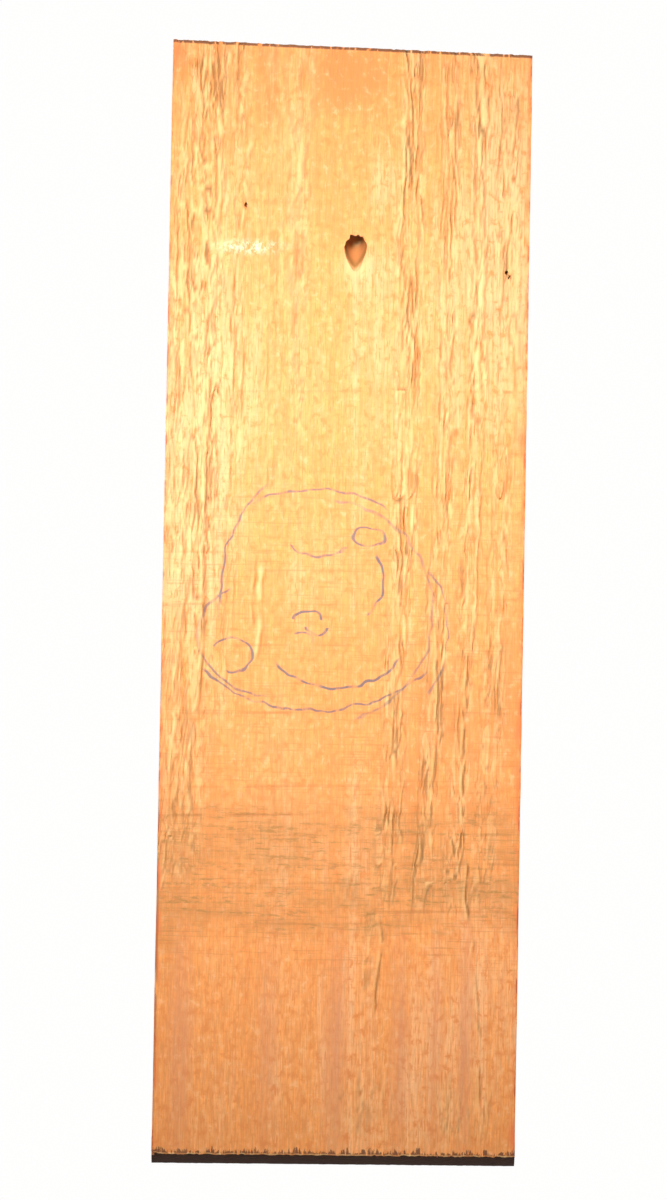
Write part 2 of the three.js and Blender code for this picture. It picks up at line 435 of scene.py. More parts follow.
def addHoleCutter():
    look = holeLook
    cutter = filledCircle("holeCutter", look["sides"], turn=-math.pi / 2)
    openMesh(cutter)
    for ring in range(look["rings"]):
        pull(1)
    closeMesh()

    p = points(cutter)
    angle = np.arctan2(p[:, 2], p[:, 0])
    ring = np.round(-p[:, 1])
    rng = np.random.default_rng(look["seed"])
    shake = rng.random((look["rings"] + 1, look["sides"])) - 0.5
    turn = np.round(angle / (2 * math.pi) * look["sides"]).astype(int) % look["sides"]
    rough = shake[ring.astype(int), turn]
    depth = np.interp(ring, (0, 1, 2, look["rings"]), (*look["firstRings"], look["depth"]))
    across, up = np.cos(angle), np.sin(angle)
    pinch = np.where(up < 0, (1 - np.abs(up)) ** 0.35, 1)
    inner = ramp(depth, 1, 8)
    x = across * (1 - inner) * look["halfWidth"] * (0.35 + 0.65 * pinch) + across * inner * look["radius"]
    x *= 1 - 0.12 * ramp(depth, 9, look["depth"])
    reach = np.where(up > 0, look["top"] - look["widest"], look["widest"] - look["bottom"])
    mouth = look["widest"] + up * reach
    climb = np.clip(depth, 0, None) * look["slope"]
    z = mouth + climb * (0.93 + 0.07 * up)
    edge = 1 - ramp(depth, 0.2, 4) * 0.7
    x += rough * look["ragged"] * edge * 0.7
    z += rough * look["ragged"] * edge * (1 + 1.6 * (up > 0.5))
    putPoints(cutter, np.stack([x, -depth, z], axis=1) * mm)
    return cutter


def addWormCutters():
    look = wormLook
    made = []
    for x, z, wide, high, lean in look["places"]:
        clearSelection()
        bpy.ops.mesh.primitive_cone_add(
            vertices=look["sides"], radius1=1, radius2=0.35, depth=1, location=(0, 0, 0),
            rotation=(math.pi / 2, 0, 0),
        )
        cone = bpy.context.object
        settle(cone, "wormCutter")
        p = points(cone)
        deep = p[:, 1] < 0
        q = np.stack([p[:, 0] * wide, np.where(deep, -look["depth"], 0.8), p[:, 2] * high], axis=1)
        q[:, 0] += x + lean * p[:, 2] * -0.8 + deep * 0.25
        q[:, 2] += z + deep * 0.9
        putPoints(cone, q * mm)
        made.append(cone)
    return made


def drill(piece, cutters):
    for cutter in cutters:
        openMesh(cutter)
        closeMesh()
        cut = piece.modifiers.new("cut", "BOOLEAN")
        cut.object, cut.operation, cut.solver = cutter, "DIFFERENCE", "EXACT"
        applyModifier(piece, cut)
        bpy.data.objects.remove(cutter, do_unlink=True)


def splitManySided(piece):
    # the cuts leave no fixed order, and faces with many corners, which would fold when they are roughened
    openMesh(piece)
    bpy.ops.mesh.sort_elements(type="CURSOR_DISTANCE", elements={"VERT", "EDGE", "FACE"})
    bpy.ops.mesh.select_all(action="SELECT")
    bpy.ops.mesh.select_mode(type="FACE")
    bpy.ops.mesh.remove_doubles(threshold=0.02 * mm)
    bpy.ops.mesh.select_all(action="DESELECT")
    bpy.ops.mesh.select_face_by_sides(number=4, type="GREATER")
    bpy.ops.mesh.quads_convert_to_tris(quad_method="BEAUTY", ngon_method="BEAUTY")
    bpy.ops.mesh.select_mode(type="VERT")
    bpy.ops.object.mode_set(mode="OBJECT")


drill(board, [addHoleCutter(), *addWormCutters()])
splitManySided(board)
print("holes cut:", len(board.data.polygons), "faces")


# Torn grain, saw marks and ragged ends, as heights of the back and as numbers for its colours.
grainLook = dict(
    drift=((70, 0), (-60, 0), (-150, 2.4), (-220, 5.5), (-292, 7.5)),  # height on the board, shift to +X
    zones=(
        # middle, half width, strength, lowest and highest place
        (47.5, 6.5, 1.0, -206, 75), (37.0, 3.0, 0.7, -160, 75), (54.5, 3.5, 0.75, -215, 75),
        (-17.5, 4.2, 1.0, -214, 75), (-29.5, 3.6, 0.85, -216, 75), (-39.0, 3.4, 0.95, -216, 75),
        (-48.5, 4.0, 0.7, -216, 75), (-6.0, 3.0, 0.35, -214, -165), (20.0, 9.0, 0.22, -214, -150),
        (24.0, 6.0, 0.35, -90, 75), (17.5, 3.2, 0.5, -70, 75), (-46.0, 9.0, 0.4, -290, -262),
        (-14.0, 9.0, 0.35, -290, -258), (-13.5, 2.0, 0.6, -245, -205),
    ),
    # kind, half width, strength, then places across and up the board
    streaks=(
        ("crack", 0.35, 0.9, ((48.9, 65), (50.2, 55), (48.7, 44), (49.0, 30))),
        ("crack", 0.3, 0.8, ((42.0, 64), (43.6, 52), (45.6, 42), (44.8, 20), (45.2, 6), (44.1, -2), (45.8,
            -10), (44.4, -16), (46.0, -22), (47.0, -30), (46.4, -44), (47.2, -58))),
        ("lip", 0.75, 0.8, ((41.2, 65), (42.7, 52), (44.9, 45), (43.6, 38), (44.3, 30), (43.1, 20), (44.5,
            8))),
        ("lip", 0.7, 1.0, ((45.0, -18), (45.2, -26), (45.8, -34), (46.9, -42), (46.6, -47), (47.4, -56))),
        ("lip", 0.6, 0.7, ((35.0, 39), (33.8, 36), (35.1, 31), (36.1, 22), (34.9, 19), (36.2, 8), (37.2,
            -8))),
        ("crack", 0.28, 0.7, ((34.1, 33), (35.6, 30), (34.4, 27))),
        ("crack", 0.28, 0.75, ((37.2, 2), (38.0, -8), (38.2, -16), (39.2, -24), (38.9, -34))),
        ("lip", 0.7, 0.9, ((53.5, -60), (53.8, -75), (53.2, -90), (54.2, -105))),
        ("lip", 0.65, 1.0, ((47.4, -66), (47.0, -80), (47.9, -95), (47.1, -110), (47.5, -124), (46.8,
            -130), (47.7, -139), (47.3, -143), (49.4, -150), (49.1, -157), (51.0, -163), (50.4, -169),
            (52.4, -179))),
        ("crack", 0.4, 0.8, ((45.9, -72), (45.6, -90), (46.2, -108), (45.4, -122), (46.0, -133), (46.4,
            -143), (48.2, -154))),
        ("lip", 0.5, 0.9, ((53.9, -122), (54.0, -131), (55.2, -141), (54.9, -151), (55.8, -170))),
        ("crack", 0.35, 0.8, ((29.5, -98), (30.3, -110), (29.9, -121), (31.6, -132))),
        ("lip", 0.8, 0.8, ((28.0, -96), (28.8, -110), (28.3, -122), (29.8, -131))),
        ("crack", 0.32, 0.9, ((-19.3, 59), (-18.0, 54), (-18.9, 47), (-18.2, 40), (-19.6, 34))),
        ("crack", 0.4, 1.0, ((-16.2, 42), (-16.6, 35), (-18.1, 31), (-17.2, 27), (-17.8, 23), (-14.8,
            20))),
        ("lip", 1.1, 0.9, ((-14.4, 44), (-15.0, 36), (-15.2, 28), (-14.2, 17), (-14.0, 4))),
        ("crack", 0.34, 1.0, ((-15.2, 10), (-14.6, -3), (-16.0, -11), (-17.6, -15), (-16.8, -18), (-17.8,
            -24), (-17.0, -28), (-17.8, -32), (-16.4, -40), (-15.7, -47), (-15.0, -53))),
        ("lip", 0.8, 0.7, ((-16.2, -22), (-15.6, -32), (-14.6, -40))),
        ("crack", 0.3, 0.6, ((-28.9, 64), (-28.2, 44), (-29.5, 30), (-29.0, 5), (-29.6, -30), (-29.0,
            -60))),
        ("crack", 0.35, 0.6, ((-37.3, 62), (-38.0, 34), (-37.4, 10), (-37.8, -20))),
        ("lip", 1.0, 1.0, ((-40.3, 61), (-40.1, 50), (-39.5, 34), (-39.1, 15), (-40.4, -8), (-38.9, -28),
            (-39.4, -44))),
        ("crack", 0.35, 0.9, ((-41.3, 55), (-41.6, 48), (-42.6, 45))),
        ("crack", 0.34, 0.9, ((-42.8, 6), (-41.7, 1), (-40.8, -3), (-41.4, -5))),
        ("crack", 0.3, 0.7, ((-38.4, -6), (-39.6, -22), (-37.8, -36), (-37.4, -52), (-37.9, -66))),
        ("crack", 0.36, 0.8, ((-51.2, 52), (-50.2, 41), (-50.1, 34))),
        ("lip", 0.8, 0.6, ((-50.9, 30), (-51.6, 10), (-50.9, -20), (-51.8, -45))),
        ("crack", 0.36, 0.9, ((-28.6, -120), (-28.5, -134), (-29.2, -147), (-28.6, -158), (-27.6, -172),
            (-26.9, -182))),
        ("crack", 0.42, 1.0, ((-38.2, -130), (-37.7, -137), (-37.4, -150), (-36.8, -159), (-38.0, -163),
            (-36.6, -170), (-37.8, -175))),
        ("crack", 0.34, 0.8, ((-48.6, -125), (-48.2, -134), (-47.2, -140))),
        ("crack", 0.34, 0.8, ((-16.4, -62), (-15.6, -80), (-16.8, -98), (-15.9, -118), (-16.9, -134),
            (-15.4, -150), (-16.2, -168), (-14.9, -186), (-15.3, -198))),
        ("crack", 0.34, 0.8, ((-11.6, -214), (-13.0, -222), (-11.4, -232), (-10.4, -246))),
        ("crack", 0.3, 0.7, ((-42.0, -232), (-43.6, -250), (-43.9, -272))),
        ("lip", 0.5, 1.0, ((-40.6, -221), (-40.0, -225))),
        ("crack", 0.4, 1.0, ((-38.9, -196), (-38.6, -206), (-39.8, -214))),
        ("crack", 0.32, 0.6, ((15.9, 64), (14.7, 51), (15.9, 44), (15.3, 38), (17.8, 18), (19.4, -2),
            (20.6, -7), (19.0, -12), (18.4, -19), (18.6, -28), (17.8, -38))),
        ("lip", 0.7, 0.5, ((17.2, 52), (17.4, 40), (19.6, 16), (20.8, -16), (19.8, -34))),
    ),
    flake=(1.9, 10.0),  # mm across and along
    sliver=(0.9, 5.0),
    # long lines of the grain: mm across, along, how many, seed, half width, strength
    lines=((3.6, 36, 4.0, 23, 0.42, 0.9), (2.3, 12, 2.8, 24, 0.36, 0.8)),
    flakeTilt=0.26,
    flakeStep=0.2,
    crackDepth=0.5,
    lipHeight=0.24,
    zoneDepth=0.26,
    dirt=(-172, -184, -212, -222),  # where the dark band starts, is full, and ends
)


def followGrain(x, z):
    heights, shifts = zip(*sorted(grainLook["drift"]))
    wander = (softNoise(x / 14, z / 26, 5) - 0.5) * 1.6 + (softNoise(x / 5, z / 9, 6) - 0.5) * 0.9
    wander += (softNoise(x / 1.6, z / 2.8, 12) - 0.5) * 0.85
    return x - np.interp(z, heights, shifts) + wander


def tornZone(grain, z):
    torn = np.zeros_like(grain)
    for middle, half, strength, low, high in grainLook["zones"]:
        ends = ramp(z, low, low + 12) * (1 - ramp(z, high - 12, high))
        torn = np.maximum(torn, strength * ends * np.exp(-(((grain - middle) / half) ** 4)))
    return torn * (0.45 + 0.75 * softNoise(grain / 4, z / 20, 7))


def streakMaps(x, z):
    # each streak wavers a little and breaks here and there
    crack, lip = np.zeros_like(x), np.zeros_like(x)
    for number, (kind, half, strength, path) in enumerate(grainLook["streaks"]):
        places, heights = zip(*sorted(path, key=lambda p: p[1]))
        waver = softNoise(np.full_like(z, number * 3.7), z / 3.1, 8) - 0.5
        middle = np.interp(z, heights, places) + waver * 0.8
        ends = ramp(z, heights[0] - 1.5, heights[0] + 2) * (1 - ramp(z, heights[-1] - 2, heights[-1] + 1.5))
        broken = 0.15 + 0.85 * ramp(softNoise(np.full_like(z, number * 5.3), z / 3.6, 9), 0.3, 0.55)
        half = half * (0.45 + 0.75 * softNoise(np.full_like(z, number * 6.1), z / 2.8, 10))
        strong = strength * ends * broken
        if kind == "crack":
            crack = np.maximum(crack, strong * bump(x, middle, half))
            lip = np.maximum(lip, 0.45 * strong * bump(x, middle + 0.9, 0.5))
        else:
            lip = np.maximum(lip, strong * bump(x, middle, half))
            crack = np.maximum(crack, 0.6 * strong * bump(x, middle - 0.7 - half, 0.3))
    return crack, lip


def grainLines(grain, z, across, along, count, seed):
    # mm to the nearest of the lines where a slow noise passes even steps
    here = softNoise(grain / across, z / along, seed) * count
    slope = (softNoise((grain + 0.15) / across, z / along, seed) * count - here) / 0.15
    return (here % 1 - 0.5) / np.where(slope < 0, np.minimum(slope, -0.12), np.maximum(slope, 0.12))


def sawMap(x, z):
    saw = np.zeros_like(x)
    for number, (place, strength, clearest) in enumerate(sawLook["marks"]):
        waver = softNoise(x / 22, np.full_like(x, number * 2.3), 41) - 0.5
        line = place - sawLook["tilt"] * x + waver * 0.5
        broken = 0.12 + 0.88 * ramp(softNoise(x / 7, np.full_like(x, number * 4.1), 42), 0.35, 0.62)
        along = 0.25 + 0.75 * bump(x, clearest, 32)
        saw = np.maximum(saw, strength * broken * along * bump(z, line, sawLook["width"]))
    return saw


def surfaceMaps(x, z):
    # x and z in mm; heights in mm, below zero into the wood
    look = grainLook
    grain = followGrain(x, z)
    torn = tornZone(grain, z)
    wide, long = look["flake"]
    slant = z / 130  # keeps neighbouring flakes from lining up
    _, across, number = cells(grain / wide + slant, z / long, 21)
    thinWide, thinLong = look["sliver"]
    _, thinAcross, thinNumber = cells(grain / thinWide + 0.3 * slant, z / thinLong, 22)
    ripped = np.clip(torn * 1.2, 0, 1) * (1 - 0.35 * ramp(-z, 120, 160) * ramp(x, 20, 30))
    crack, lip = np.zeros_like(x), np.zeros_like(x)
    for apart, along, count, seed, half, strength in look["lines"]:
        gap = grainLines(grain, z, apart, along, count, seed)
        kept = ramp(softNoise(grain / apart, z / along * 3, seed + 5), 0.34, 0.6) * ripped * strength
        crack = np.maximum(crack, (1 - ramp(np.abs(gap), half * 0.3, half)) * kept)
        lip = np.maximum(lip, bump(gap, 0.85, 0.5) * kept * 0.8)
    namedCrack, namedLip = streakMaps(x, z)
    crack, lip = np.maximum(crack, namedCrack), np.maximum(lip, namedLip)
    tilt = across * (number - 0.35) * look["flakeTilt"] * 2
    level = (number - 0.5) * look["flakeStep"] + (thinNumber - 0.5) * look["flakeStep"] * 0.45
    height = torn * (tilt + level + thinAcross * 0.12 - look["zoneDepth"])
    height += lip * look["lipHeight"] - crack * look["crackDepth"]
    height += (softNoise(x / 2.4, z / 16, 31) - 0.5) * 0.1 + (softNoise(x / 11, z / 55, 32) - 0.5) * 0.16

    saw = sawMap(x, z)
    height -= saw * sawLook["depth"]

    start, full, fading, end = look["dirt"]
    begun = ramp(-(z + 6 * (softNoise(x / 6, z / 20, 51) - 0.5)), -start, -full)
    over = ramp(-(z + 8 * (softNoise(x / 5, z / 20, 52) - 0.5)), -fading, -end)
    dirt = begun * (1 - over)
    return dict(torn=torn, crack=crack, lip=lip, saw=saw, dirt=dirt), np.minimum(height, 0.02)


def addAttribute(piece, name, values):
    layer = piece.data.attributes.new(name, "FLOAT", "POINT")
    layer.data.foreach_set("value", values.astype(np.float32))


def roughenBoard(piece):
    p = points(piece) / mm
    x, y, z = p.T
    maps, height = surfaceMaps(x, z)
    nearBack = 1 - ramp(-y, 0.0, 0.9)  # how much of the relief the sides take
    toBottom, toTop = z - bottomEdge(x), topEdge(x) - z
    toSide = np.minimum(x - boardLeft, boardRight - x)

    # the ends are ragged, and one lower corner is nipped off
    shallow = 1 - ramp(-y, 0.5, 5)
    coarse, fine = softNoise(x / 1.1, y / 3, 61), softNoise(x / 0.45, y / 2, 62)
    ragged = boardLook["endChip"] * (coarse * 1.2 + fine * 0.6)
    z = z + ragged * np.exp(-np.clip(toBottom, 0, None) / 1.4) * (0.25 + 0.75 * shallow)
    z = z - ragged * 0.6 * np.exp(-np.clip(toTop, 0, None) / 1.2) * (0.25 + 0.75 * shallow)
    cutWide, cutHigh = boardLook["cornerCut"]
    nip = np.clip((x - boardRight + cutWide) / cutWide, 0, 1) * cutHigh
    z = z + nip * np.exp(-np.clip(toBottom, 0, None) / 3.0) * shallow
    dent = (softNoise(y / 3 + 7, z / 9, 63) - 0.5) * 0.28 * np.exp(-np.clip(toSide, 0, None) / 1.0)
    x = x + np.where(x > 0, -1, 1) * np.clip(dent + 0.05, 0, None) * shallow
    # worn arris
    worn = 0.22 * np.exp(-np.minimum(np.minimum(toBottom, toTop), toSide) / 0.35)
    inside = (y < -0.4) & (np.abs(x) < 8) & (z > -8) & (z < 28)
    y = y + (height - worn) * nearBack * np.where(inside, 0, 1)
    putPoints(piece, np.stack([x, y, z], axis=1) * mm)
    for name, values in maps.items():
        addAttribute(piece, name, values * (p[:, 1] > -1.5))
    for name, values in (("toBottom", toBottom), ("toTop", toTop), ("toSide", toSide)):
        addAttribute(piece, name, values)


roughenBoard(board)
print("grain torn, saw marks and ends done")


# Small helpers for shader nodes. Each adds to the material that was begun last.

def newMaterial(name):
    global tree
    material = bpy.data.materials.new(name)
    material.use_nodes = True
    tree = material.node_tree
    return material, tree.nodes["Principled BSDF"]


def feed(socket, value):
    # a socket takes another's output, or a plain value
    if isinstance(value, bpy.types.NodeSocket):
        tree.links.new(value, socket)
    else:
        socket.default_value = value


def addNode(kind, inputs, **settings):
    made = tree.nodes.new("ShaderNode" + kind)
    for key, value in settings.items():
        setattr(made, key, value)
    for key, value in inputs.items():
        feed(made.inputs[key], value)
    return made


def calc(operation, first, second=0.0):
    return addNode("Math", {0: first, 1: second}, operation=operation).outputs[0]


def times(first, *others):
    for other in others:
        first = calc("MULTIPLY", first, other)
    return first


def plus(first, second):
    return calc("ADD", first, second)


def minus(first, second):
    return calc("SUBTRACT", first, second)


def larger(first, second):
    return calc("MAXIMUM", first, second)


def vector(operation, first, second=(0, 0, 0)):
    made = addNode("VectorMath", {0: first, 1: second}, operation=operation)
    return made.outputs["Value" if operation in ("LENGTH", "DOT_PRODUCT") else 0]


def rise(value, start, end, low=0.0, high=1.0):
    inputs = {"Value": value, "From Min": start, "From Max": end, "To Min": low, "To Max": high}
    return addNode("MapRange", inputs, interpolation_type="SMOOTHSTEP").outputs[0]


def blend(amount, first, second, kind="MIX"):
    return addNode("Mix", {0: amount, 6: first, 7: second}, data_type="RGBA", blend_type=kind).outputs[2]


def attributes(*names):
    return [addNode("Attribute", {}, attribute_name=name).outputs["Fac"] for name in names]


def place(scale=(1, 1, 1), middle=(0, 0, 0), turn=0.0):
    # a place on the piece in mm from the middle given, stretched by the scale
    moved = vector("SUBTRACT", addNode("TexCoord", {}).outputs["Object"], tuple(m * mm for m in middle))
    inputs = {"Vector": moved, "Rotation": (0, turn, 0), "Scale": tuple(s / mm for s in scale)}
    return addNode("Mapping", inputs).outputs[0]


def noise(where, detail=2.0, roughness=0.5, distortion=0.0):
    inputs = {"Vector": where, "Scale": 1.0, "Detail": detail, "Roughness": roughness}
    return addNode("TexNoise", {**inputs, "Distortion": distortion}).outputs["Fac"]


def wander(where, detail):
    # noise as three numbers, to shift a place by
    return addNode("TexNoise", {"Vector": where, "Scale": 1.0, "Detail": detail}).outputs["Color"]


def cellular(where, output="Distance", feature="F1"):
    return addNode("TexVoronoi", {"Vector": where, "Scale": 1.0}, feature=feature).outputs[output]


def lump(middle, size, turn=0.0):
    # 1 at the middle, falling to 0 at the size given, in mm
    return rise(vector("LENGTH", place(tuple(1 / s for s in size), middle, turn)), 1.0, 0.0)


def finishShader(shader, colour, roughness, relief=None, strength=0.0, deep=0.0):
    feed(shader.inputs["Base Color"], colour)
    feed(shader.inputs["Roughness"], roughness)
    if relief is not None:
        bumped = addNode("Bump", {"Height": relief, "Strength": strength, "Distance": deep * mm})
        feed(shader.inputs["Normal"], bumped.outputs[0])


rawLook = dict(
    colour=(0.82, 0.31, 0.078, 1),
    paleColour=(0.86, 0.42, 0.178, 1),
    deepColour=(0.72, 0.225, 0.050, 1),
    # pale torn fibres, also used as a painted highlight on raised lips
    lipColour=(0.91, 0.58, 0.24, 1),
    # painted shade for the cracks and splits of the torn grain
    crackShadeColour=(0.25, 0.115, 0.028, 1),
    sawColour=(0.42, 0.14, 0.03, 1),
    dirtColour=(0.45, 0.19, 0.046, 1),
    mauveColour=(0.62, 0.235, 0.105, 1),
    stainColour=(0.10, 0.03, 0.012, 1),
    rustColour=(0.78, 0.16, 0.04, 1),
    chalkColour=(0.95, 0.80, 0.58, 1),
    haloColour=(0.93, 0.60, 0.27, 1),
    # painted shade in the hole's mouth, and painted light deeper in
    boreColour=(0.40, 0.175, 0.045, 1),
    deepBoreColour=(0.60, 0.235, 0.07, 1),
    inkColour=(0.075, 0.09, 0.125, 1),
    roughness=0.62,
    # x and z of the middle, half width, half height, strength: how far to the pale or the deep side
    paleLumps=(
        (-14, -262, 62, 60, 0.55), (52, -92, 17, 62, 1.0), (-46, 0, 26, 85, 0.8), (48, -50, 30, 95, 0.9),
        (-8, 22, 9, 20, 0.7), (-2, -5, 14, 14, 0.6), (-20, -30, 50, 60, 0.4), (14, -105, 20, 25, 0.3),
        (-44, -236, 24, 60, 0.6), (4, -192, 52, 30, 0.4), (-42, 26, 14, 60, 0.5),
    ),
    deepLumps=(
        (6, 54, 16, 17, 0.9), (28, 52, 9, 24, 0.7), (15, 75, 75, 42, 0.8), (57, 60, 5, 12, 1.0),
        (-52, -140, 18, 60, 0.5), (-38, -150, 34, 72, 0.5), (-5, -165, 40, 60, 0.2),
    ),
    dirtLumps=(
        (52, -187, 17, 17, 0.8), (-50, -186, 14, 15, 0.7), (20, -203, 34, 9, 0.5), (-8, -190, 14, 9, 0.45),
        (56, -215, 10, 30, 0.5),
    ),
    rustLumps=(
        (58, 64, 4, 7, 0.6), (-54.5, -60, 3.2, 8, 0.8), (-55, -153, 3.2, 8, 0.8), (-55, -282, 3.2, 8, 0.8),
    ),
    # middle, half width and strength of each stripe low down
    mauveStripes=(
        (49.5, 4, 0.7), (0.5, 4.0, 0.8), (-19.5, 3.2, 0.7), (-31, 2.5, 0.5), (-40.5, 2.5, 0.8), (22, 4, 0.4),
    ),
    # generic pen strokes: middle, radii, turn, the side they are drawn on, how far round, strength
    strokes=(
        ((20, 0, -124), (28, 20), 0.0, (1, -0.25), 0.45, 0.8),
        ((11, 0, -111), (30, 42), 0.42, (1, 0), 0.84, 0.9),
        ((8, 0, -116), (34.5, 36), 0.0, (-1, 0.1), 0.2, 0.6),
        ((11, 0, -120), (42, 27.5), 0.0, (0, -1), 0.55, 0.9),
        ((11, 0, -100), (34, 23.5), 0.0, (-0.05, 1), 0.8, 0.8),
        ((36.5, 0, -130.5), (6.2, 5.6), 0.0, (-0.5, 0.2), -0.6, 0.9),
        ((4, 0, -121), (23, 19.5), 0.1, (-0.15, -1.0), 0.55, 1.0),
        ((-6, 0, -91.5), (5.6, 3.0), 0.35, (0, 1), -1.5, 0.9),
        ((9.5, 0, -92), (10, 6.2), 0.05, (0, -1), 0.45, 0.8),
        ((-2, 0, -106), (8.5, 12), 0.35, (-0.95, 0.2), 0.55, 1.0),
        ((13, 0, -118), (4.4, 2.6), 0.3, (0.3, 1), -0.2, 1.0),
        ((10, 0, -121), (3.2, 2.2), -0.3, (0.3, -1), -0.1, 1.0),
        ((14.5, 0, -125), (3.6, 1.8), 0.4, (-0.4, 1), 0.0, 0.9),
        ((-22, 0, -122), (9, 21), -0.15, (-1, -0.1), 0.35, 0.7),
    ),
    penWidth=0.58,
    penShake=3.4,
    penStrength=0.86,
)


def lumps(found, thick=60):
    # what the lumps listed do, each with its strength
    for x, z, wide, high, strength in found:
        yield lump((x, 0, z), (wide, thick, high)), strength


def penMarks():
    look = rawLook
    shake = wander(vector("ADD", place((0.16, 0.0, 0.16)), (3, 1, 2)), 1.0)
    offset = vector("SUBTRACT", shake, (0.5, 0.5, 0.5))
    ink = 0.0
    for middle, (wide, high), turn, (sideX, sideZ), reach, strength in look["strokes"]:
        small = vector("MULTIPLY", offset, (look["penShake"] / wide, 0, look["penShake"] / high))
        moved = vector("ADD", place((1 / wide, 0, 1 / high), middle, turn), small)
        gap = calc("ABSOLUTE", minus(vector("LENGTH", moved), 1.0))
        thin = look["penWidth"] / math.sqrt(wide * high)
        norm = math.hypot(sideX, sideZ)
        side = vector("DOT_PRODUCT", moved, (sideX / norm, 0, sideZ / norm))
        kept = rise(side, reach - 0.04, reach + 0.04)
        ink = larger(ink, times(rise(gap, thin, thin * 0.35), kept, strength))
    return times(ink, rise(noise(place((0.24, 0, 0.14), (4, 0, 9)), 3, 0.6), 0.36, 0.56, 0.3, 1.0))


def rawWood():
    look = rawLook
    material, shader = newMaterial("rawWood")
    crack, lip, torn, saw, dirt = attributes("crack", "lip", "torn", "saw", "dirt")
    toBottom, toTop, toSide = attributes("toBottom", "toTop", "toSide")
    coords = addNode("SeparateXYZ", {0: place()})
    height, depth = coords.outputs["Z"], times(coords.outputs["Y"], -1.0)

    # broad colour: pale, middle and deep wood in long stripes
    stripes = noise(place((0.085, 0.1, 0.0045)), 3, 0.55, 0.4)
    fine = noise(place((0.55, 0.5, 0.018)), 3, 0.6)
    fibre = noise(place((2.6, 1, 0.13)), 3, 0.65, 0.3)
    blotch = noise(place((0.11, 0.1, 0.05)), 3, 0.6)
    tone = plus(plus(times(stripes, 0.55), times(fine, 0.45)), times(minus(blotch, 0.5), 0.35))
    for listed, sign in ((look["paleLumps"], 0.28), (look["deepLumps"], -0.24)):
        for near, strength in lumps(listed):
            tone = plus(tone, times(near, sign * strength))
    colour = blend(rise(tone, 0.5, 0.82), look["colour"], look["paleColour"])
    colour = blend(rise(tone, 0.5, 0.2), colour, look["deepColour"])
    paler = times(torn, rise(noise(place((0.9, 1, 0.09), (9, 0, 4)), 2), 0.35, 0.7))
    colour = blend(times(paler, 0.75), colour, look["paleColour"])
    fibres = rise(fibre, 0.25, 0.75, 0.80, 1.16)
    fibreGrey = addNode("CombineColor", {"Red": fibres, "Green": fibres, "Blue": fibres}).outputs[0]
    colour = blend(1.0, colour, fibreGrey, "MULTIPLY")

    # small flecks that lie across the grain, and marks of the saw all the way down
    fleck = noise(place((0.42, 0, 0.36), (6, 0, 1)), 4, 0.62, 0.3)
    colour = blend(rise(fleck, 0.5, 0.7, 0, 1.0), colour, look["deepColour"])
    colour = blend(rise(fleck, 0.48, 0.28, 0, 0.8), colour, look["paleColour"])
    sawn = times(rise(height, -40, -110), rise(height, -238, -222))
    teeth = noise(place((0.05, 0, 1.3), (3, 0, 12), sawLook["tilt"]), 3, 0.7)
    toothed = times(rise(teeth, 0.52, 0.66), plus(times(sawn, 0.34), 0.06))
    colour = blend(toothed, colour, look["sawColour"])

    # growth rings as faint lines, and short dark strokes of the grain
    ring = calc("SINE", times(noise(place((0.11, 0, 0.006), (3, 0, 5)), 2), 75.0))
    colour = blend(rise(ring, 0.2, 1.0, 0, 0.3), colour, look["deepColour"])
    vessel = noise(place((1.9, 1, 0.2), (31, 0, 3)), 1, 0.5, 0.2)
    colour = blend(rise(vessel, 0.58, 0.7, 0, 0.95), colour, look["deepColour"])

    # slivers of the torn grain, with painted shade darkening their splits
    shift = vector("MULTIPLY", wander(place((0.4, 0, 0.12)), 2.0), (1.3, 0, 1.1))
    sliver = vector("ADD", place((0.85, 0, 0.105)), shift)
    rim = cellular(sliver, feature="DISTANCE_TO_EDGE")
    shade = addNode("SeparateColor", {0: cellular(sliver, "Color")}).outputs[0]
    rough = rise(torn, 0.12, 0.55)
    gash = noise(place((0.5, 1, 0.1), (7, 0, 2)), 2)
    splits = times(rise(rim, 0.07, 0.02), rise(gash, 0.42, 0.58), rough)
    colour = blend(times(rise(shade, 0.6, 1.0, 0, 0.3), rough), colour, look["lipColour"])
    colour = blend(times(rise(shade, 0.3, 0.0, 0, 0.3), rough), colour, look["deepColour"])
    colour = blend(times(splits, 0.34), colour, look["crackShadeColour"])

    # mauve stripes low down
    stripe = 0.0
    for middle, half, strength in look["mauveStripes"]:
        stripe = larger(stripe, times(lump((middle + 1.5, 0, -255), (half * 1.5, 90, 62), 0.035), strength))
    colour = blend(times(stripe, rise(fine, 0.3, 0.6, 0.5, 1.0), 0.8), colour, look["mauveColour"])

    # dirt rubbed into the rough band
    specks = noise(place((0.3, 1, 0.8), (5, 0, 8)), 4, 0.65)
    combed = noise(place((0.04, 1, 0.6), (2, 0, 3), sawLook["tilt"]), 4, 0.72)
    smear = noise(place((0.03, 1, 0.11), (6, 0, 3)), 2, 0.6)
    grime = times(rise(specks, 0.40, 0.68), rise(combed, 0.47, 0.62, 0.12, 1.0))
    grime = times(dirt, plus(grime, rise(smear, 0.36, 0.62, 0.06, 0.42)))
    streaky = rise(combed, 0.4, 0.6, 0.35, 1.0)
    for near, strength in lumps(look["dirtLumps"], 30):
        grime = larger(grime, times(near, streaky, strength))
    colour = blend(grime, colour, look["dirtColour"])

    # chalky scuff beside the hole
    scuffed = rise(noise(place((0.5, 1, 0.35), (2, 0, 6)), 4, 0.7), 0.42, 0.6)
    chalk = times(lump((34, 0, 1.2), (16.5, 30, 3.4), 0.03), scuffed, 0.85)
    colour = blend(chalk, colour, look["chalkColour"])

    # lifted fibres, pale in themselves and partly a painted highlight on the raised lips; saw marks; and
    # painted shade in the cracks
    colour = blend(times(lip, 0.75), colour, look["lipColour"])
    colour = blend(times(saw, 0.75), colour, look["sawColour"])
    colour = blend(times(crack, 0.95), colour, look["crackShadeColour"])
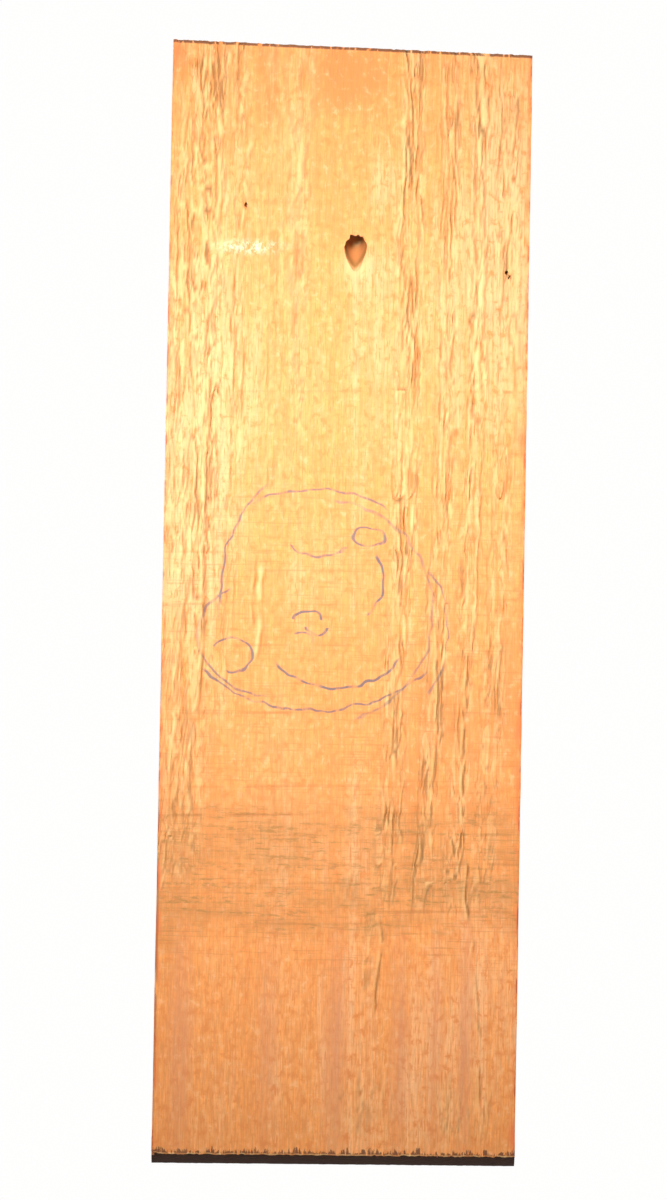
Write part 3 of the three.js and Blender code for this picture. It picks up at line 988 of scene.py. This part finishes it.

    # the hole: darker inside its mouth as painted shade, paler again deeper in and at its end as painted
    # light that lifts the bore's own shade
    halo = times(lump((0, 0, -3.5), (7.5, 30, 8)), rise(fleck, 0.35, 0.6, 0.15, 0.55))
    colour = blend(halo, colour, look["haloColour"])
    colour = blend(rise(depth, 0.5, 2.4), colour, look["boreColour"])
    colour = blend(rise(depth, 2.4, 5.0), colour, look["deepBoreColour"])
    colour = blend(rise(depth, 8.5, 11.0), colour, look["haloColour"])

    # a chipped line along the bottom, and the stain and rust that crept round the arrises
    chipped = times(rise(toBottom, 0.62, 0.3), rise(toBottom, -0.2, 0.1), rise(fleck, 0.45, 0.6, 0.0, 0.9))
    colour = blend(chipped, colour, look["lipColour"])
    creep = noise(place((0.55, 0.4, 0.12), (1, 0, 2)), 3, 0.65)
    bite = noise(place((0.62, 0.4, 0.1), (8, 0, 1)), 4, 0.8)
    gather = noise(place((0.16, 0.4, 0.0), (5, 0, 1)), 2, 0.6)
    topLine = times(rise(toTop, 1.35, 0.75), rise(creep, 0.36, 0.46))
    nick = minus(times(rise(bite, 0.36, 0.62), rise(gather, 0.3, 0.7, 1.2, 3.6)), toBottom)
    bottomLine = times(rise(nick, 0.0, 0.45), rise(toBottom, 0.35, 0.6, 0.45, 1.0))
    sideLine = times(rise(toSide, 0.7, 0.2), rise(creep, 0.5, 0.62))
    lowLeft = times(lump((57, 0, -232), (5, 30, 64)), rise(creep, 0.34, 0.46))
    sideLine = larger(sideLine, times(lowLeft, rise(toSide, 1.1, 0.4, 0.0, 1.4)))
    rust = times(rise(toSide, 2.2, 0.3), rise(creep, 0.42, 0.62, 0.0, 0.75))
    for near, strength in lumps(look["rustLumps"], 30):
        rust = larger(rust, times(near, strength))
    colour = blend(rust, colour, look["rustColour"])
    onBack = rise(depth, 1.4, 0.9)
    stain = larger(larger(topLine, bottomLine), times(sideLine, 0.6))
    colour = blend(times(stain, onBack, 0.85), colour, look["stainColour"])
    colour = blend(times(penMarks(), onBack, look["penStrength"]), colour, look["inkColour"])

    dull = rise(fibre, 0.3, 0.7, look["roughness"] - 0.06, look["roughness"] + 0.12)
    relief = plus(plus(times(fibre, 0.5), times(specks, 0.25)), times(shade, rough, 0.4))
    finishShader(shader, colour, dull, minus(relief, times(splits, 0.5)), 0.5, 0.4)
    shader.inputs["Specular IOR Level"].default_value = 0.35
    return material


stainLook = dict(
    colour=(0.060, 0.020, 0.008, 1),
    lightColour=(0.115, 0.042, 0.015, 1),
    poreColour=(0.016, 0.006, 0.003, 1),
    rubbedColour=(0.24, 0.085, 0.026, 1),
    roughness=0.34,
    coat=0.5,
    # the end colours are the stain, darkened further as painted shade
    endColour=(0.030, 0.010, 0.004, 1),
    endLightColour=(0.062, 0.022, 0.009, 1),
    endSawnColour=(0.085, 0.032, 0.014, 1),
    endPoreColour=(0.010, 0.004, 0.002, 1),
    endRoughness=0.8,
)


def stainedWood():
    look = stainLook
    material, shader = newMaterial("walnutStain")
    wave = calc("SINE", times(noise(place((0.16, 0.16, 0.008)), 4, 0.55, 0.8), 34.0))
    fine = noise(place((0.9, 0.9, 0.03)), 3, 0.6)
    tone = plus(times(wave, 0.22), fine)
    colour = blend(rise(tone, 0.25, 0.85), look["colour"], look["lightColour"])
    pore = rise(noise(place((3.4, 3.4, 0.12), (3, 5, 1)), 2, 0.5), 0.62, 0.72)
    colour = blend(times(pore, 0.8), colour, look["poreColour"])
    # the stain is rubbed thin along the front's edges
    toSide, toTop, toBottom = (calc("ABSOLUTE", edge) for edge in attributes("toSide", "toTop", "toBottom"))
    nearEdge = calc("MINIMUM", toSide, calc("MINIMUM", toTop, toBottom))
    front = rise(addNode("SeparateXYZ", {0: place()}).outputs["Y"], -17.0, -19.0)
    rub = times(front, rise(nearEdge, 2.4, 0.6), rise(fine, 0.45, 0.7, 0.1, 0.55))
    colour = blend(rub, colour, look["rubbedColour"])
    dull = rise(fine, 0.3, 0.7, look["roughness"] - 0.06, look["roughness"] + 0.1)
    finishShader(shader, colour, dull, minus(times(fine, 0.5), pore), 0.3, 0.3)
    shader.inputs["Coat Weight"].default_value = look["coat"]
    shader.inputs["Coat Roughness"].default_value = 0.16
    return material


def stainedEndWithShade():
    # the two sawn ends drank the stain: dark, dull and pricked with pores, and darker still as painted shade
    # for the shadow under the bottom edge
    look = stainLook
    material, shader = newMaterial("walnutStainEndWithShade")
    rings = vector("LENGTH", place((1, 1, 0), (12, 46, 0)))
    waver = times(noise(place((0.12, 0.12, 0)), 2), 5.0)
    wave = calc("SINE", times(plus(rings, waver), 2.6))
    sawn = noise(place((0.25, 2.2, 0.3)), 3, 0.6)
    colour = blend(rise(wave, -0.2, 1.0), look["endColour"], look["endLightColour"])
    colour = blend(rise(sawn, 0.45, 0.7, 0, 0.5), colour, look["endSawnColour"])
    pores = cellular(place((1.8, 1.8, 0)))
    colour = blend(rise(pores, 0.2, 0.08, 0, 0.8), colour, look["endPoreColour"])
    finishShader(shader, colour, look["endRoughness"], sawn, 0.4, 0.4)
    shader.inputs["Specular IOR Level"].default_value = 0.12
    return material


def paintBoard(piece):
    # raw wood on the back and in the holes, stain everywhere else
    for material in (rawWood(), stainedWood(), stainedEndWithShade()):
        piece.data.materials.append(material)
    for face in piece.data.polygons:
        x, y, z = face.center / mm
        hole = abs(x) < 7 and -9 < z < 28 and y > -15
        worm = (30 < x < 40 and 8 < z < 20 or -52 < x < -45 and -12 < z < 2) and y > -6
        back = face.normal.y > 0.2 and y > -2.5
        end = abs(face.normal.z) > 0.75 and y > -17.6
        face.material_index = 0 if back or hole or worm else 2 if end else 1
    only(piece)
    bpy.ops.object.shade_smooth_by_angle(angle=math.radians(52))


paintBoard(board)
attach(board, "root")
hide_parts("board")
print("board painted")


# Turned and struck metal pieces start as a filled circle that is drawn out ring by ring.
def pressed(name, centre, profile, sides):
    # the profile is (radius, height) in mm from the piece's back, in the board's front direction
    radius, height = profile[0]
    piece = filledCircle(name, sides, radius * mm, centre + Vector((0, -height * mm, 0)))
    openMesh(piece)
    for nextRadius, nextHeight in profile[1:]:
        pull((nextHeight - height) * mm)
        grow = nextRadius / radius
        bpy.ops.transform.resize(value=(grow, 1, grow), center_override=(centre.x, 0, centre.z))
        radius, height = nextRadius, nextHeight
    closeMesh()
    return piece


def joinPieces(pieces, name):
    clearSelection()
    for piece in pieces:
        piece.select_set(True)
    bpy.context.view_layer.objects.active = pieces[0]
    bpy.ops.object.join()
    joined = bpy.context.object
    joined.name = joined.data.name = name
    return joined


def finishPiece(piece, material, slot, *nodes, angle=35):
    piece.data.materials.clear()
    piece.data.materials.append(material)
    only(piece)
    bpy.ops.object.shade_smooth_by_angle(angle=math.radians(angle))
    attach(piece, "root")
    if nodes:
        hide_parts(*nodes)


def backMiddle(node):
    # middle of a fitting's back face, and its size in mm
    low, high = (Vector(end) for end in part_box(node))
    middle = (low + high) / 2
    return Vector((middle.x, high.y, middle.z)), (high - low) / mm


metalLook = dict(
    brass=(0.86, 0.60, 0.24, 1),
    brassDark=(0.30, 0.16, 0.05, 1),
    plate=(0.90, 0.66, 0.30, 1),
    engraved=(0.05, 0.03, 0.012, 1),
    antique=(0.74, 0.50, 0.20, 1),
    antiqueDark=(0.075, 0.048, 0.022, 1),
    grain=(2.5, 2.5, 2.5),
    brushedGrain=(0.06, 2, 14),
)


def brassFinish(name, bright, dark, roughness, hollow=None, soot=1.0, tarnished=0.45, brushed=False):
    # hollow gives the depths, in mm, between which the brass goes from dark to rubbed bright
    material, shader = newMaterial(name)
    blotches = noise(place((0.12, 0.12, 0.12)), 4, 0.65)
    flecks = noise(place((1.4, 1.4, 1.4), (3, 1, 2)), 4, 0.7)
    tarnish = times(rise(blotches, 0.48, 0.78), rise(flecks, 0.3, 0.7, 0.3, 1.0))
    colour = blend(times(tarnish, tarnished), bright, dark)
    if hollow:
        depth = addNode("SeparateXYZ", {0: place()}).outputs["Y"]
        sooty = rise(plus(depth, times(minus(flecks, 0.5), soot)), hollow[1], hollow[0])
        colour = blend(times(sooty, 0.92), colour, dark)
    grain = metalLook["brushedGrain"] if brushed else metalLook["grain"]
    lines = noise(place(grain, (5, 0, 3)), 3, 0.6)
    dull = plus(rise(lines, 0.3, 0.7, roughness - 0.06, roughness + 0.1), times(tarnish, 0.2))
    finishShader(shader, colour, dull, lines, 0.12, 0.04 if brushed else 0.1)
    shader.inputs["Metallic"].default_value = 1.0
    return material


# The laurel wreath that lies on the medallion holder's rim.
wreathLook = dict(
    stations=15,  # on each of the two branches
    startAngle=-82,
    endAngle=80,
    leafLength=11.6,
    leafWidth=4.3,
    leafDome=1.1,
    leafThickness=0.55,
    middleRadius=31.6,
    # turned outwards from the branch, moved outwards, height above the board, size
    rows=((-27, -3.0, 6.35, 0.86), (27, 3.4, 5.3, 0.9), (0, 0.3, 6.7, 0.92)),
    berryRadius=0.95,
    berryHeight=7.3,
    # tilt in degrees and shift in mm of each loop of the tie
    tieLoops=((24, -1.4), (-24, 1.4), (0, 0)),
    tieRadius=3.2,
    tieThickness=0.75,
    tieHeight=5.2,
    tieStretch=(0.8, 1.35),  # flatter, and taller
    seed=4,
)


def leafBlank():
    look = wreathLook
    clearSelection()
    bpy.ops.mesh.primitive_grid_add(x_subdivisions=6, y_subdivisions=4, size=1)
    leaf = bpy.context.object
    settle(leaf, "laurelLeaf")
    p = points(leaf)
    along, across = p[:, 0] + 0.5, p[:, 1] * 2
    wide = np.sin(np.pi * np.clip(along, 0.02, 0.985) ** 0.82) ** 0.8 * look["leafWidth"] / 2
    rib = 0.28 * np.exp(-((across / 0.22) ** 2))
    x = along * look["leafLength"]
    y = across * np.maximum(wide, 0.12)
    z = look["leafDome"] * (1 - 0.75 * across**2) * np.sin(np.pi * along * 0.9) + rib * np.sin(np.pi * along)
    z += 0.5 * along**2
    putPoints(leaf, np.stack([x, y, z], axis=1) * mm)
    thick = leaf.modifiers.new("thick", "SOLIDIFY")
    thick.thickness, thick.offset = look["leafThickness"] * mm, -1
    applyModifier(leaf, thick)
    smooth = leaf.modifiers.new("smooth", "SUBSURF")
    smooth.levels = smooth.render_levels = 1
    applyModifier(leaf, smooth)
    return leaf


def berryBlank():
    clearSelection()
    bpy.ops.mesh.primitive_ico_sphere_add(subdivisions=2, radius=wreathLook["berryRadius"] * mm)
    berry = bpy.context.object
    settle(berry, "laurelBerry")
    p = points(berry)
    p[:, 2] *= 0.85 + 0.1 * (p[:, 0] > 0)
    putPoints(berry, p)
    return berry


def laid(blank, angle, radius, height, turn, size, mirror, centre, pitch=0.0):
    # a copy laid on the front at an angle round the medallion, pointing along its branch
    copy = copyOf(blank)
    p = points(blank) / mm * size
    if mirror:
        p[:, 1] *= -1
    p[:, 2] += p[:, 0] * math.tan(math.radians(pitch))
    around = math.radians(angle)
    heading = around + (-math.pi / 2 if mirror else math.pi / 2) + math.radians(turn)
    x = p[:, 0] * math.cos(heading) - p[:, 1] * math.sin(heading) + radius * math.cos(around)
    z = p[:, 0] * math.sin(heading) + p[:, 1] * math.cos(heading) + radius * math.sin(around)
    putPoints(copy, np.stack([x, -(p[:, 2] + height), z], axis=1) * mm + np.array(centre))
    return copy


def addTie(centre):
    # three loops bind the branches at the foot
    look = wreathLook
    middle = centre + Vector((0, -look["tieHeight"], -look["middleRadius"])) * mm
    made = []
    for tilt, shift in look["tieLoops"]:
        clearSelection()
        bpy.ops.mesh.primitive_torus_add(
            major_segments=28, minor_segments=8, major_radius=look["tieRadius"] * mm,
            minor_radius=look["tieThickness"] * mm, location=middle + Vector((shift * mm, 0, 0)),
            rotation=(0, math.radians(90 + tilt), 0),
        )
        loop = bpy.context.object
        settle(loop, "wreathTie")
        p = points(loop)
        p[:, 1] = middle.y + (p[:, 1] - middle.y) * look["tieStretch"][0]
        p[:, 2] = middle.z + (p[:, 2] - middle.z) * look["tieStretch"][1]
        putPoints(loop, p)
        made.append(loop)
    return made


def addWreath():
    look = wreathLook
    centre, _ = backMiddle("medallion_holder")
    rng = np.random.default_rng(look["seed"])
    leaf, berry = leafBlank(), berryBlank()
    made = []
    for mirror in (False, True):
        for station in range(look["stations"]):
            share = station / (look["stations"] - 1)
            angle = look["startAngle"] + share * (look["endAngle"] - look["startAngle"])
            size = 1.0 - 0.22 * share
            for turn, outwards, height, scale in look["rows"]:
                wobble = rng.random(3) - 0.5
                here = angle + wobble[0] * 1.6
                aim = (turn if mirror else -turn) + wobble[1] * 7
                made.append(laid(
                    leaf, 180 - here if mirror else here, look["middleRadius"] + outwards,
                    height + wobble[2] * 0.3, aim, scale * size, mirror, centre, pitch=4 if turn == 0 else 2,
                ))
            if station % 2 and station < look["stations"] - 1:
                side = 1.9 if station % 4 == 1 else -2.4
                made.append(laid(
                    berry, 176 - angle if mirror else angle + 4, look["middleRadius"] + side,
                    look["berryHeight"], 0, 1.0, mirror, centre,
                ))
    made += addTie(centre)
    for blank in (leaf, berry):
        bpy.data.objects.remove(blank, do_unlink=True)
    wreath = joinPieces(made, "laurelWreath")
    openMesh(wreath)
    closeMesh()
    return wreath


antiqueBrass = brassFinish(
    "antiqueBrass", metalLook["antique"], metalLook["antiqueDark"], 0.32, hollow=(-22.4, -26.6), soot=1.6
)
finishPiece(addWreath(), antiqueBrass, "wreath_brass", angle=45)
print("wreath laid")


# The struck disc: a lip, a ring of beads, a fluted field and a five-pointed star.
discLook = dict(
    face=1.6,  # height of the field above the back
    lip=2.1,
    # mm in from the edge, and height from the back, the lip or the field
    rim=((0.15, "back", 0), (0, "back", 0.2), (0, "lip", -0.2), (0.2, "lip", 0), (1.7, "lip", 0),
         (1.95, "lip", -0.15), (2.1, "face", -0.1), (4.6, "face", -0.15), (4.9, "face", 0)),
    field=((16.0, -0.1), (11, -0.05), (6, 0), (2, 0)),  # radius, height above the field
    flutes=72,
    fluteHeight=0.16,
    fluteEdge=4.7,
    beads=72,
    beadRadius=0.5,
    beadRing=21.8,
    starReach=15.4,
    starWaist=0.40,
    starHeight=1.55,
    starFoot=0.35,
    starSunk=0.3,
)


def addStar(centre):
    look = discLook
    base = look["face"] - look["starSunk"]
    star = filledCircle("discStar", 10, look["starReach"] * mm, centre + Vector((0, -base * mm, 0)))
    offset = points(star) - np.array(centre)
    order = np.argsort(np.argsort(np.arctan2(offset[:, 2], offset[:, 0])))
    reach = np.where(order % 2 == 0, 1.0, look["starWaist"]) * look["starReach"]
    turned = math.pi / 2 + order * math.pi / 5
    outline = np.stack([reach * np.cos(turned), np.full(10, -base), reach * np.sin(turned)], axis=1)
    putPoints(star, np.array(centre) + outline * mm)
    openMesh(star)
    pull((look["starSunk"] + look["starFoot"]) * mm)
    bpy.ops.mesh.poke()
    bpy.ops.object.mode_set(mode="OBJECT")
    p = points(star)
    offset = (p - np.array(centre)) / mm
    apex = (np.hypot(offset[:, 0], offset[:, 2]) < 0.5) & (-offset[:, 1] > look["face"])
    p[:, 1] = np.where(apex, centre.y - (look["face"] + look["starHeight"]) * mm, p[:, 1])
    putPoints(star, p)
    openMesh(star)
    closeMesh()
    return star


def addBeads(centre):
    look = discLook
    clearSelection()
    bpy.ops.mesh.primitive_uv_sphere_add(segments=8, ring_count=5, radius=look["beadRadius"] * mm)
    bead = bpy.context.object
    settle(bead, "discBead")
    flat = points(bead) * np.array((1, 0.8, 1))
    made = []
    for number in range(look["beads"]):
        angle = 2 * math.pi * (number + 0.5) / look["beads"]
        ring = Vector((math.cos(angle), 0, math.sin(angle))) * look["beadRing"] * mm
        made.append(copyOf(bead))
        putPoints(made[-1], flat + np.array(centre + ring + Vector((0, -(look["face"] + 0.02) * mm, 0))))
    bpy.data.objects.remove(bead, do_unlink=True)
    return made


def addDisc():
    look = discLook
    centre, size = backMiddle("medallion_disc")
    outer, sides = size.x / 2, 2 * look["flutes"]
    level = dict(back=0, lip=look["lip"], face=look["face"])
    profile = [(outer - inwards, level[start] + height) for inwards, start, height in look["rim"]]
    profile += [(radius, look["face"] + height) for radius, height in look["field"]]
    disc = pressed("struckDisc", centre, profile, sides)
    p = points(disc)
    offset = (p - np.array(centre)) / mm
    radius = np.hypot(offset[:, 0], offset[:, 2])
    spoke = np.round(np.arctan2(offset[:, 2], offset[:, 0]) / (2 * math.pi) * sides).astype(int) % 2
    fluted = (-offset[:, 1] > 1.3) & (radius < outer - look["fluteEdge"])
    p[:, 1] += np.where(fluted & (spoke == 0), look["fluteHeight"] * mm, 0)
    putPoints(disc, p)
    return joinPieces([disc, addStar(centre), *addBeads(centre)], "struckDisc")


brightBrass = brassFinish(
    "brightBrass", metalLook["brass"], metalLook["brassDark"], 0.2, hollow=(-25.1, -25.4), soot=0.35
)
finishPiece(addDisc(), brightBrass, "disc_brass", "medallion_disc", angle=30)
print("disc struck")


# The name plate: hollow-cut corners and an engraved double border.
plateLook = dict(
    cornerRadius=8.0,
    arcSteps=12,
    bevel=0.3,
    borders=((3.0, 0.6, 0.3), (1.2, 0.3, 0.2)),  # mm in from the last line, width, depth
    holeRadius=1.05,
)


def plateOutline(wide, high, inset):
    # points round the plate in mm, kept the inset away from its hollow-cornered edge
    r, x, z = plateLook["cornerRadius"], wide / 2, high / 2
    lean = math.asin(inset / (r + inset))
    share = np.linspace(lean, math.pi / 2 - lean, plateLook["arcSteps"] + 1)
    across, up = x - (r + inset) * np.cos(share), z - (r + inset) * np.sin(share)
    ring = [(i * a, j * b) for i in (-1, 1) for j in (-1, 1) for a, b in zip(across, up)]
    return np.array(sorted(ring, key=lambda q: math.atan2(q[1], q[0])))


def addPlate():
    look = plateLook
    centre, size = backMiddle("name_plate")
    rings = [(0, 0), (0, size.y - look["bevel"]), (look["bevel"], size.y)]
    edge = look["bevel"]
    for gap, width, depth in look["borders"]:
        edge += gap
        rings += [(edge, size.y), (edge + width / 2, size.y - depth), (edge + width, size.y)]
        edge += width
    plate = filledCircle("namePlate", 4 * (look["arcSteps"] + 1))
    openMesh(plate)
    for ring in rings[1:]:
        pull(1)
    bpy.ops.object.mode_set(mode="OBJECT")
    p = points(plate)
    level = np.round(-p[:, 1]).astype(int)
    placed = np.zeros_like(p)
    for number, (inset, height) in enumerate(rings):
        here = np.flatnonzero(level == number)
        order = here[np.argsort(np.arctan2(p[here, 2], p[here, 0]))]
        outline = plateOutline(size.x, size.z, inset)
        placed[order] = np.stack([outline[:, 0], np.full(len(order), -height), outline[:, 1]], axis=1)
    putPoints(plate, placed * mm + np.array(centre))
    openMesh(plate)
    closeMesh()

    holes = []
    for number in range(1, 5):
        middle, _ = backMiddle("plate_pin_%d" % number)
        clearSelection()
        bpy.ops.mesh.primitive_cylinder_add(
            vertices=20, radius=look["holeRadius"] * mm, depth=8 * mm,
            location=(middle.x, centre.y, middle.z), rotation=(math.pi / 2, 0, 0),
        )
        holes.append(bpy.context.object)
        settle(holes[-1], "pinHole")
    drill(plate, holes)
    return plate


plateBrass = brassFinish(
    "brushedBrass", metalLook["plate"], metalLook["engraved"], 0.24, hollow=(-21.16, -21.34), soot=0.05,
    tarnished=0.12, brushed=True,
)
finishPiece(addPlate(), plateBrass, "plate_brass", "name_plate", angle=30)
print("name plate made")


# Four domed pins, each on a pointed shank.
pinLook = dict(headRadius=2.3, headHeight=1.7, shankRadius=0.85, sides=32, steps=8, collar=0.25)


def addPin(number):
    look = pinLook
    node = "plate_pin_%d" % number
    tip, size = backMiddle(node)  # its box ends at the shank's tip
    shank, head = look["shankRadius"], look["headRadius"]
    seat = size.y - look["headHeight"]
    profile = [(0.12, 0), (shank, 1.5), (shank, seat), (head - 0.2, seat), (head, seat + look["collar"])]
    for step in range(1, look["steps"]):
        angle = math.pi / 2 * step / look["steps"]
        dome = look["headHeight"] - look["collar"]
        profile.append((head * math.cos(angle), seat + look["collar"] + dome * math.sin(angle)))
    return pressed("platePin%d" % number, tip, profile, look["sides"]), node


pinBrass = brassFinish("pinBrass", metalLook["brass"], metalLook["brassDark"], 0.22)
for number in range(1, 5):
    pin, node = addPin(number)
    finishPiece(pin, pinBrass, "pin_brass", node, angle=40)
print("pins set")


# The screws and the foam pad keep their shape.
fittingLook = dict(
    steelDark=(0.42, 0.41, 0.39, 1),
    steel=(0.62, 0.61, 0.58, 1),
    foamDark=(0.55, 0.53, 0.48, 1),
    foam=(0.82, 0.80, 0.75, 1),
    foamRoughness=0.9,
)


def steelFinish():
    material, shader = newMaterial("screwSteel")
    swirl = noise(place((3, 0.5, 3)), 3, 0.6)
    colour = blend(rise(swirl, 0.3, 0.7), fittingLook["steelDark"], fittingLook["steel"])
    finishShader(shader, colour, rise(swirl, 0.3, 0.7, 0.26, 0.44))
    shader.inputs["Metallic"].default_value = 1.0
    return material


def foamFinish():
    material, shader = newMaterial("padFoam")
    pores = cellular(place((2.4, 2.4, 2.4)))
    colour = blend(rise(pores, 0.1, 0.6), fittingLook["foamDark"], fittingLook["foam"])
    finishShader(shader, colour, fittingLook["foamRoughness"], pores, 0.5, 0.2)
    return material


def dressNode(node, material):
    # a node whose shape is right keeps it, and gets its finish
    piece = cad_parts[node]
    if not piece.material_slots:
        piece.data.materials.append(None)
    for materialSlot in piece.material_slots:
        materialSlot.material = material


dressNode("medallion_holder", antiqueBrass)
dressNode("adhesive_pad", foamFinish())
for node in ("holder_screw_1", "holder_screw_2"):
    dressNode(node, steelFinish())
print("fittings finished")

[[list(corner) for corner in box] for box in (cadBox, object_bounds())]
